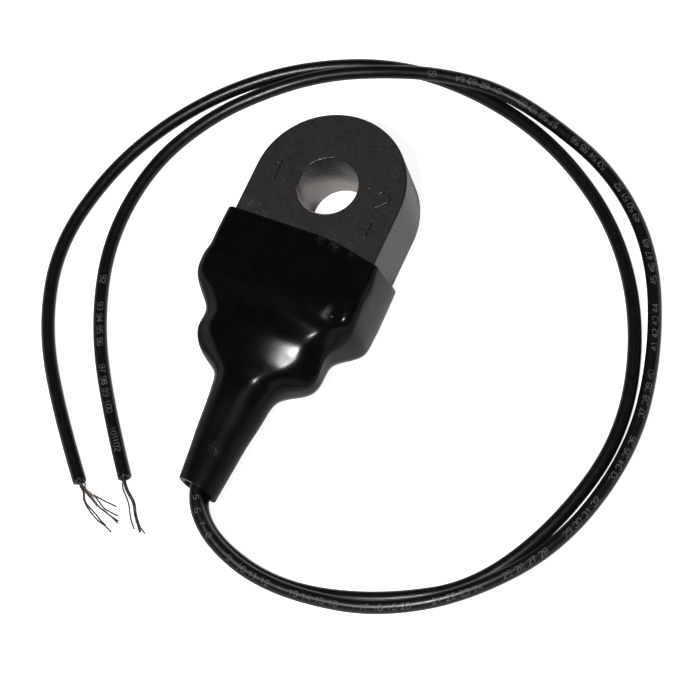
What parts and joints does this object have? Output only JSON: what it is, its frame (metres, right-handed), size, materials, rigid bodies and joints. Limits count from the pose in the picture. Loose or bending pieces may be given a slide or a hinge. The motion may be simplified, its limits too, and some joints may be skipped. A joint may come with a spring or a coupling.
{
  "type": "current sensor",
  "caption": "Potted ring current sensor with a round-topped case, a round window, a shrink boot and a pair of free leads.",
  "frame": {"origin": "on the window's axis, at the case's back face", "axes": "+Z along the window's axis towards the case's front face, +Y towards the case's round top, leads leave along -Y"},
  "size_m": [0.1021, 0.0909, 0.0134],
  "materials": {
    "case": "fine matt, charcoal",
    "potting": "cast resin, black",
    "core_steel": "wound strip",
    "cup_plastic": "natural nylon",
    "copper": "enamelled copper",
    "tape": "polyester tape",
    "block_plastic": "moulded, black",
    "pin_metal": "tinned brass",
    "solder": "bright solder",
    "sleeve": "heat-shrink sleeve",
    "boot": "glossy heat-shrink tube, black",
    "insulation": "semi-gloss PVC, black",
    "strand_metal": "dull tinned copper"
  },
  "bodies": {
    "root": {"case_shell": "case", "potting_fill": "potting", "core_ring": "core_steel", "core_cup": "cup_plastic", "core_lid": "cup_plastic", "secondary_winding": "copper", "winding_tape": "tape", "winding_tail_1": "copper", "winding_tail_2": "copper", "tail_solder_1": "solder", "tail_solder_2": "solder", "terminal_block": "block_plastic", "terminal_pin_1": "pin_metal", "terminal_pin_2": "pin_metal", "solder_joint_1": "solder", "solder_joint_2": "solder", "joint_sleeve_1": "sleeve", "joint_sleeve_2": "sleeve", "shrink_boot": "boot", "lead_insulation_1": "insulation", "lead_insulation_2": "insulation", "lead_conductor_1": "strand_metal", "lead_conductor_2": "strand_metal", "lead_strands_1": "strand_metal", "lead_strands_2": "strand_metal"}
  },
  "joints": []
}
